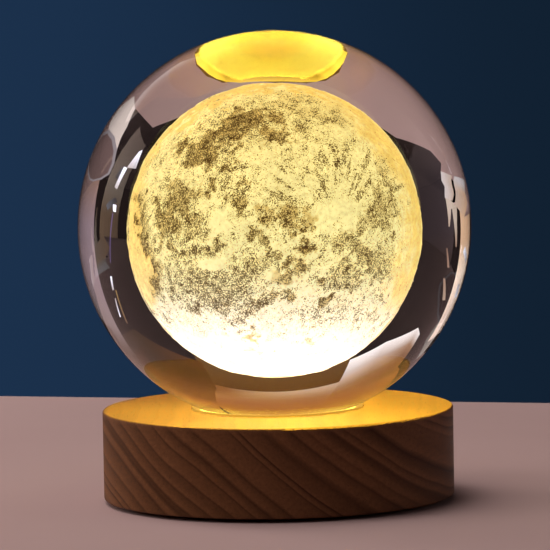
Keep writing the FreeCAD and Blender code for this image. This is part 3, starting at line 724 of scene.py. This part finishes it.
def make_card(name, rows):
    """A glowing card that only glass and glossy surfaces show: rows of points, joined by strips.

    Each row is (colour, points), or (one colour for each point, points).
    """
    material = bpy.data.materials.new(name)
    material.use_nodes = True
    tree = material.node_tree
    tree.nodes.clear()
    tint = add(tree, "ShaderNodeAttribute", attribute_name="tint").outputs["Color"]
    glow = add(tree, "ShaderNodeEmission", {"Color": tint, "Strength": 1.0}).outputs[0]
    add(tree, "ShaderNodeOutputMaterial", {"Surface": glow})
    points = [point for _, row in rows for point in row]
    colours = []
    for colour, row in rows:
        each = colour if isinstance(colour, list) else [colour] * len(row)
        colours += [(*one, 1.0) for one in each]
    count = len(rows[0][1])
    corners = [level * count + column for level in range(len(rows) - 1) for column in range(count - 1)]
    faces = [(first, first + 1, first + count + 1, first + count) for first in corners]
    mesh = bpy.data.meshes.new(name)
    mesh.from_pydata(points, [], faces)
    layer = mesh.color_attributes.new("tint", "FLOAT_COLOR", "POINT")
    layer.data.foreach_set("color", np.array(colours, dtype=np.float32).reshape(-1))
    card = new_object(name, mesh, material, smooth=False)
    card.visible_camera = False
    card.visible_diffuse = False
    card.visible_shadow = False


def round_about(reach, *directions):
    """Points round the ball: azimuth in degrees from +Y towards +X, and degrees up."""
    points = []
    for azimuth, elevation in directions:
        turn, rise = math.radians(azimuth), math.radians(elevation)
        ahead = Vector((math.sin(turn) * math.cos(rise), math.cos(turn) * math.cos(rise), math.sin(rise)))
        points.append(BALL_CENTRE + ahead * reach)
    return points


def on_floor(height, *places):
    """Points just above the floor, from places in millimetres."""
    return [Vector((x, y, height)) / MM for x, y in places]


def make_floor_card(name, height, *rows):
    """A card that lies so many millimetres above the floor: (colour, places in millimetres) for each row."""
    make_card(name, [(colour, on_floor(height, *places)) for colour, places in rows])


def make_wall(name, azimuths, levels, reach=ROOM_REACH):
    """An upright card between azimuths, with (elevation, colour) levels from low to high."""
    rows = [(colour, [(azimuth, elevation) for azimuth in azimuths]) for elevation, colour in levels]
    make_card(name, [(colour, round_about(reach, *row)) for colour, row in rows])


def make_glint(name, levels):
    """A narrow slanted card: (colour, direction of its one edge, direction of the other) for each level."""
    make_card(name, [(colour, round_about(GLINT_REACH, *edges)) for colour, *edges in levels])


def make_ceiling():
    """A tan ceiling with a dark square notch, paler along its edge and golden overhead.

    Each of its three pieces has its lower edge as (azimuth, elevation) points, then rows that rise from
    that edge by so many degrees, and then rows that are level, up to the rows overhead.
    """
    bright, tan, gold = (1.2, 1.08, 1.05), (0.47, 0.16, 0.034), (0.95, 0.50, 0.055)
    overhead = [(50, tan), (54, (0.68, 0.26, 0.038)), (58, gold), (88, gold)]
    left = [(-44.5, 25.5), (-41, 22.5), (-28, 23), (-18, 26)]
    left_risen = [
        (0, bright),
        (5, [(0.42, 0.22, 0.12), (0.45, 0.25, 0.15), (0.66, 0.48, 0.40), (0.75, 0.64, 0.62)]),
        (8.5, [(0.28, 0.12, 0.055), (0.30, 0.14, 0.07), (0.50, 0.30, 0.20), (0.62, 0.43, 0.34)]),
        (12, [(0.25, 0.10, 0.042), (0.25, 0.10, 0.042), (0.34, 0.16, 0.075), (0.44, 0.25, 0.15)]),
    ]
    left_level = [
        (39.5, [(0.25, 0.098, 0.036), (0.25, 0.098, 0.036), (0.32, 0.125, 0.05), (0.42, 0.20, 0.10)]),
        (42, (0.35, 0.130, 0.048)),
        (45.5, (0.39, 0.128, 0.040)),
    ]
    middle = [(-18, 35), (-7, 34.9), (4, 34.8), (15, 34.6), (26, 34.5)]
    dim = (0.25, 0.095, 0.034)
    middle_risen = [
        (0, [(0.60, 0.42, 0.32), (0.66, 0.50, 0.40), (0.55, 0.36, 0.24), (0.26, 0.10, 0.036), dim]),
        (2.5, [(0.55, 0.34, 0.22), (0.58, 0.37, 0.24), (0.54, 0.31, 0.16), (0.29, 0.112, 0.038), dim]),
    ]
    middle_level = [
        (39.5, [(0.46, 0.24, 0.13), (0.50, 0.26, 0.13), (0.48, 0.25, 0.11), (0.37, 0.155, 0.05), dim]),
        (42, (0.42, 0.170, 0.065)),
        (45.5, (0.40, 0.140, 0.046)),
    ]
    right = [(18.4, 26), (34, 23), (40, 21), (55, 27), (100, 20)]
    dusk, umber = (0.05, 0.028, 0.016), (0.15, 0.052, 0.018)
    right_risen = [
        (0, [(0.12, 0.045, 0.014), (0.06, 0.030, 0.014), dusk, (0.06, 0.035, 0.022), dusk]),
        (5, [(0.09, 0.034, 0.010), (0.06, 0.028, 0.013), dusk, (0.07, 0.042, 0.028), dusk]),
        (11, [(0.14, 0.050, 0.016), (0.08, 0.030, 0.011), dusk, (0.12, 0.045, 0.018), dusk]),
    ]
    right_level = [
        (40, [(0.19, 0.066, 0.020), (0.17, 0.058, 0.019), (0.12, 0.040, 0.014), umber, umber]),
        (46.5, (0.25, 0.080, 0.022)),
    ]
    for name, reach, edge, drift, risen, level in (
        ("stage_ceiling_left", CEILING_REACH, left, -1.1, left_risen, left_level),
        ("stage_ceiling_middle", CEILING_REACH, middle, 0.0, middle_risen, middle_level),
        ("stage_ceiling_right", RIGHT_CEILING_REACH, right, 0.5, right_risen, right_level),
    ):
        rows = [(colour, [(azimuth, low + rise) for azimuth, low in edge]) for rise, colour in risen]
        for height, colour in level + overhead:
            start = (edge[0][0] + drift * (height - SLANT_FROM), height)
            rows.append((colour, [start] + [(azimuth, height) for azimuth, _ in edge[1:]]))
        make_card(name, [(colour, round_about(reach, *row)) for colour, row in rows])
    notch = [(19, (0.150, 0.082, 0.040)), (35, (0.115, 0.045, 0.013))]
    make_wall("stage_notch", (-18, 20), notch, CEILING_REACH)


def make_glints():
    """Narrow bright strips and streaks, from windows and shelf edges."""
    white, cool, violet = (1.5, 1.5, 1.75), (0.62, 0.54, 0.56), (0.10, 0.07, 0.20)
    cream, fawn, gold = (0.70, 0.55, 0.45), (0.60, 0.42, 0.31), (0.42, 0.26, 0.08)
    rust, brown = (0.46, 0.28, 0.20), (0.26, 0.15, 0.10)
    glints = {
        "stage_strip_inner": [(white, (32.2, -22.5), (31.9, -22.4)), (cool, (36.8, -17.9), (32.6, -17.3))],
        "stage_strip_right": [(white, (38.3, -18.3), (36.6, -17.8)), (cool, (41.0, -13.6), (39.4, -13.0))],
        "stage_strip_low": [(white, (40.4, -9.6), (38.6, -9.4)), (white, (40.0, -8.0), (38.5, -7.8))],
        "stage_line_violet": [(violet, (40.3, -7.6), (39.7, -7.6)), (violet, (42.4, 4.0), (41.9, 4.0))],
        "stage_strip_upper": [(white, (43.9, 7.6), (42.8, 7.4)), (cool, (44.5, 11.2), (43.4, 11.0))],
        "stage_strip_top": [(cool, (44.6, 13.4), (43.9, 13.2)), (white, (45.9, 18.9), (45.1, 18.7))],
        "stage_line_upper": [(gold, (42.6, 10.8), (42.0, 10.8)), (brown, (43.0, 20.0), (42.2, 20.0))],
        "stage_streak": [(cream, (-46.6, -14.0), (-57.0, -14.0)), (cream, (-47.2, -6.8), (-55.6, -6.8))],
        "stage_streak_left": [(cream, (-47.2, -6.8), (-50.2, -6.8)), (fawn, (-47.4, -2.6), (-48.2, -2.6))],
        "stage_streak_right": [
            (cream, (-51.0, -6.8), (-55.6, -6.8)),
            (cream, (-51.8, -3.0), (-54.6, -3.0)),
            (rust, (-53.6, 3.0), (-54.8, 3.2)),
        ],
        "stage_streak_mid": [(brown, (-45.9, 2.4), (-46.9, 2.6)), (rust, (-48.4, 7.5), (-50.2, 8.0))],
        "stage_streak_low": [(rust, (-46.8, 10.0), (-48.6, 10.6)), (fawn, (-51.4, 17.0), (-54.4, 17.6))],
        "stage_spot_mid": [(white, (-64.0, 5.6), (-66.5, 4.3)), (cool, (-72.0, 9.8), (-75.0, 8.7))],
        "stage_spot_low": [(cool, (-66.0, 15.0), (-70.5, 15.5)), (white, (-68.0, 19.5), (-74.0, 20.0))],
    }
    for name, levels in glints.items():
        make_glint(name, levels)


def make_walls():
    """The side walls, which the glass shows along its left and right edges."""
    lilac, peach = (0.62, 0.52, 0.53), (1.02, 0.64, 0.40)
    blush, rose = (1.60, 1.25, 1.00), (1.30, 0.95, 0.80)
    left = [(-26, lilac), (-12, lilac), (-8, peach), (3, peach), (12, blush), (32, rose)]
    make_wall("stage_wall_left", (-59, -68, -78), left)
    rust, grey, mauve = (0.34, 0.20, 0.16), (0.36, 0.255, 0.29), (0.36, 0.27, 0.27)
    dusk, umber = (0.12, 0.07, 0.045), (0.15, 0.08, 0.04)
    right = [(-16, rust), (-4, grey), (10, grey), (24, mauve), (34, dusk), (46, umber)]
    make_wall("stage_wall_right", (53, 68, 86), right)


def shelf_rear(places):
    """The places on the shelf's rear edge that lie behind the given ones, in millimetres."""
    slope = math.tan(FLOOR_TURN)
    return [(x, MM * FLOOR_REAR / math.cos(FLOOR_TURN) - slope * x) for x, _ in places]


def make_shelf_cards():
    """Dark, pale and brown patches on the shelf, at heights that keep them apart where they overlap."""
    dark = (0.004, 0.0025, 0.0025)
    front = [(-293, 104), (-187, 145), (-133, 156), (-120, 137), (-94, 132), (-73, 141), (-60, 147)]
    front += [(-44, 141), (42, 132), (52, 129), (54, 86), (87, 122), (123, 138)]
    make_floor_card("stage_shade", 0.4, (dark, front), (dark, shelf_rear(front)))

    panel = (0.82, 0.68, 0.62)
    panel_inner = [(51, 63), (54, 86), (65, 101), (76, 110), (87, 122)]
    panel_outer = [(65, 48), (75, 55), (83, 74), (83, 97), (106, 124)]
    make_floor_card("stage_panel", 0.6, (panel, panel_inner), (panel, panel_outer))

    brown, edge = (0.17, 0.105, 0.10), (0.34, 0.29, 0.31)
    patch_inner = [(92, 56), (83, 72), (83, 96), (90, 118), (104, 136), (122, 148)]
    patch_outer = [(112, 50), (134, 52), (150, 80), (160, 106), (156, 124), (140, 142)]
    make_floor_card("stage_patch", 0.9, (brown, patch_inner), (brown, patch_outer))
    edge_inner = [(89, 51), (79, 71), (79, 97), (86, 121), (102, 141), (122, 155)]
    edge_outer = [(113, 44), (138, 47), (156, 78), (167, 105), (162, 127), (143, 149)]
    make_floor_card("stage_patch_edge", 0.7, (edge, edge_inner), (edge, edge_outer))

    cream, tan, peach = (0.74, 0.64, 0.63), (0.68, 0.50, 0.41), (1.02, 0.64, 0.40)
    streak_near = [(-132, 156), (-153, 179.5), (-176, 192), (-190, 207), (-207, 225), (-224, 242)]
    streak_far = [(-160, 138), (-171, 153), (-190, 167), (-211, 179), (-233, 194), (-270, 236)]
    make_floor_card("stage_streak_floor", 0.6, (cream, streak_near), (tan, streak_far))
    rim_near = [(-166, 131), (-178, 147), (-198, 160), (-219, 172), (-241, 187), (-318, 254)]
    rim_far = [(-216, 70), (-240, 96), (-262, 110), (-300, 120), (-400, 130), (-740, 364)]
    pale = [(0.80, 0.70, 0.72), (0.76, 0.64, 0.60), (0.76, 0.58, 0.50), tan, tan, tan]
    glare = [(0.95, 0.88, 0.90), (0.95, 0.86, 0.86), (0.80, 0.64, 0.56), peach, peach, peach]
    make_floor_card("stage_rim_floor", 0.6, (pale, rim_near), (glare, rim_far))


def runs(*pairs):
    """One colour for each point, from (colour, number of points) pairs."""
    return [colour for colour, count in pairs for _ in range(count)]


def make_cap_cards():
    """The shadow behind the base and the light round it, which the top of the ball shows as a cap's rim."""
    shadow = (0.10, 0.050, 0.014)
    shadow_near = [(20, 45), (17, 45), (11, 44), (5, 43), (-1, 43)]
    shadow_near += [(-7, 43), (-13, 44), (-18, 44), (-20, 45)]
    shadow_far = [(21.9, 58), (22.3, 79), (20.1, 97), (15.5, 109.5), (-1, 116)]
    shadow_far += [(-11, 114.5), (-17, 108), (-20.6, 95), (-22.0, 64)]
    make_floor_card("stage_shadow", 0.5, (shadow, shadow_near), (shadow, shadow_far))

    deep = [(16, 50), (15, 58), (13.5, 66), (12, 72), (10.5, 78), (8.5, 83), (6, 86), (0, 88)]
    deep += [(-5.5, 87.5), (-8.5, 84), (-10, 80), (-11.5, 74), (-13, 67), (-14.5, 60), (-16, 52)]
    inmost = [(19.5, 56), (19, 67), (18, 77), (16.5, 85), (15, 92), (12.5, 97), (9, 101), (0, 103)]
    inmost += [(-8, 103), (-12.5, 99), (-14.5, 95), (-16.2, 88), (-17.3, 80), (-18.5, 71), (-19.5, 58)]
    inner = [(20.5, 60), (20, 72), (19.3, 82), (18, 90), (16.4, 98), (14, 103), (10, 106.5), (0, 108.5)]
    inner += [(-9, 108), (-14, 105), (-16, 101), (-17.8, 94), (-18.8, 86), (-20, 76), (-20.5, 62)]
    outer = [(21.8, 60), (21.8, 78), (20.4, 87), (19.2, 95), (17.1, 103)]
    outer += [(14.2, 109), (10, 112.8), (0, 114.4), (-9, 113.8), (-14, 111)]
    outer += [(-17, 105), (-18.9, 98), (-20.3, 89), (-21.2, 80), (-21.8, 62)]
    dim, faint = (0.15, 0.07, 0.001), (0.30, 0.135, 0.003)
    honey, orange, umber = (1.25, 0.82, 0.060), (1.00, 0.63, 0.055), (0.60, 0.33, 0.020)
    warm = runs(((1.60, 1.10, 0.095), 3), (honey, 2), (umber, 5), (honey, 2), ((1.60, 1.10, 0.090), 3))
    bright = (1.35, 0.92, 0.080)
    amber = runs(((1.60, 1.12, 0.110), 3), (bright, 2), (orange, 5), (bright, 2), ((1.60, 1.12, 0.100), 3))
    make_floor_card("stage_amber", 0.7, (dim, deep), (faint, inmost), (warm, inner), (amber, outer))


def make_room():
    """What the glass shows round about: ceiling, walls, narrow bright strips and patches on the shelf."""
    make_ceiling()
    make_walls()
    make_glints()
    make_shelf_cards()
    make_cap_cards()


def make_softbox(name, place, aim, width, height, radiance, colour):
    """An area light whose face glows with the given radiance."""
    data = bpy.data.lights.new(name, "AREA")
    data.shape = "RECTANGLE"
    data.size, data.size_y = width, height
    data.color = colour
    data.energy = radiance * math.pi * width * height
    light = bpy.data.objects.new(name, data)
    light.location = place
    light.rotation_euler = (Vector(aim) - Vector(place)).to_track_quat("-Z", "Y").to_euler()
    light.visible_camera = False
    light.visible_transmission = False
    light.visible_glossy = False
    bpy.context.scene.collection.objects.link(light)


def make_glow():
    """The lamps' light that the ball throws down on the wood, most of it to the front."""
    lit = bpy.data.collections.new("lit_by_glow")
    lit.objects.link(NODES["wood_base"])
    for name, reach, share in (("glow_front", -GLOW_REACH, 1.0), ("glow_rear", GLOW_REACH, REAR_GLOW)):
        data = bpy.data.lights.new(name, "POINT")
        data.color = GLOW_COLOUR
        data.shadow_soft_size = GLOW_RADIUS
        data.energy = share * GLOW_RADIANCE * 4 * math.pi**2 * GLOW_RADIUS**2
        light = bpy.data.objects.new(name, data)
        light.location = BALL_CENTRE + Vector((GLOW_SIDE, reach, -GLOW_DROP))
        light.visible_camera = False
        light.visible_transmission = False
        light.visible_glossy = False
        light.light_linking.receiver_collection = lit
        bpy.context.scene.collection.objects.link(light)


def make_lights():
    warm = (1.0, 0.86, 0.78)
    make_softbox("overhead", (-0.3, 0.1, 0.9), (0, 0, 0.03), 0.9, 0.7, 2.3, warm)
    make_softbox("front_left", (-0.84, -0.18, 0.4), (0, 0, 0.03), 0.4, 0.4, 2.5, warm)
    make_softbox("rim_left", (-0.45, 0.4, 0.14), (0, 0, 0.012), 0.2, 0.3, 5.0, warm)
    make_softbox("fill_right", (0.7, -0.2, 0.25), (0, 0, 0.012), 0.3, 0.3, 0.65, warm)


def make_world():
    """A dim room: dark and warm for light and glass, a dark blue blur behind for the viewer."""
    world = bpy.data.worlds.new("room")
    bpy.context.scene.world = world
    world.use_nodes = True
    tree = world.node_tree
    tree.nodes.clear()
    direction = tree.nodes.new("ShaderNodeTexCoord").outputs["Generated"]
    side = add(tree, "ShaderNodeSeparateXYZ", {0: direction}).outputs["X"]
    share = spread(tree, side, -0.06, 0.06, smooth=True)
    behind = mix_colour(tree, share, (0.0113, 0.0305, 0.0715), (0.0058, 0.0149, 0.0310))
    camera = tree.nodes.new("ShaderNodeLightPath").outputs["Is Camera Ray"]
    colour = mix_colour(tree, camera, (0.014, 0.009, 0.0085), behind)
    glow = add(tree, "ShaderNodeBackground", {"Color": colour, "Strength": 1.0}).outputs[0]
    add(tree, "ShaderNodeOutputWorld", {"Surface": glow})


def make_camera():
    data = bpy.data.cameras.new("camera")
    data.angle = FIELD_OF_VIEW
    camera = bpy.data.objects.new("camera", data)
    camera.location = (CAMERA_SIDE, -CAMERA_DISTANCE, CAMERA_HEIGHT)
    aim = Vector((CAMERA_SIDE, 0.0, AIM_HEIGHT)) - camera.location
    camera.rotation_euler = aim.to_track_quat("-Z", "Y").to_euler()
    camera.rotation_euler.rotate_axis("Z", -CAMERA_ROLL)
    bpy.context.scene.collection.objects.link(camera)
    bpy.context.scene.camera = camera


bpy.context.scene.view_settings.view_transform = "Standard"
make_camera()
make_ball()
make_moon()
make_spring()
finish_cad_nodes()
make_floor()
make_room()
make_lights()
make_glow()
make_world()
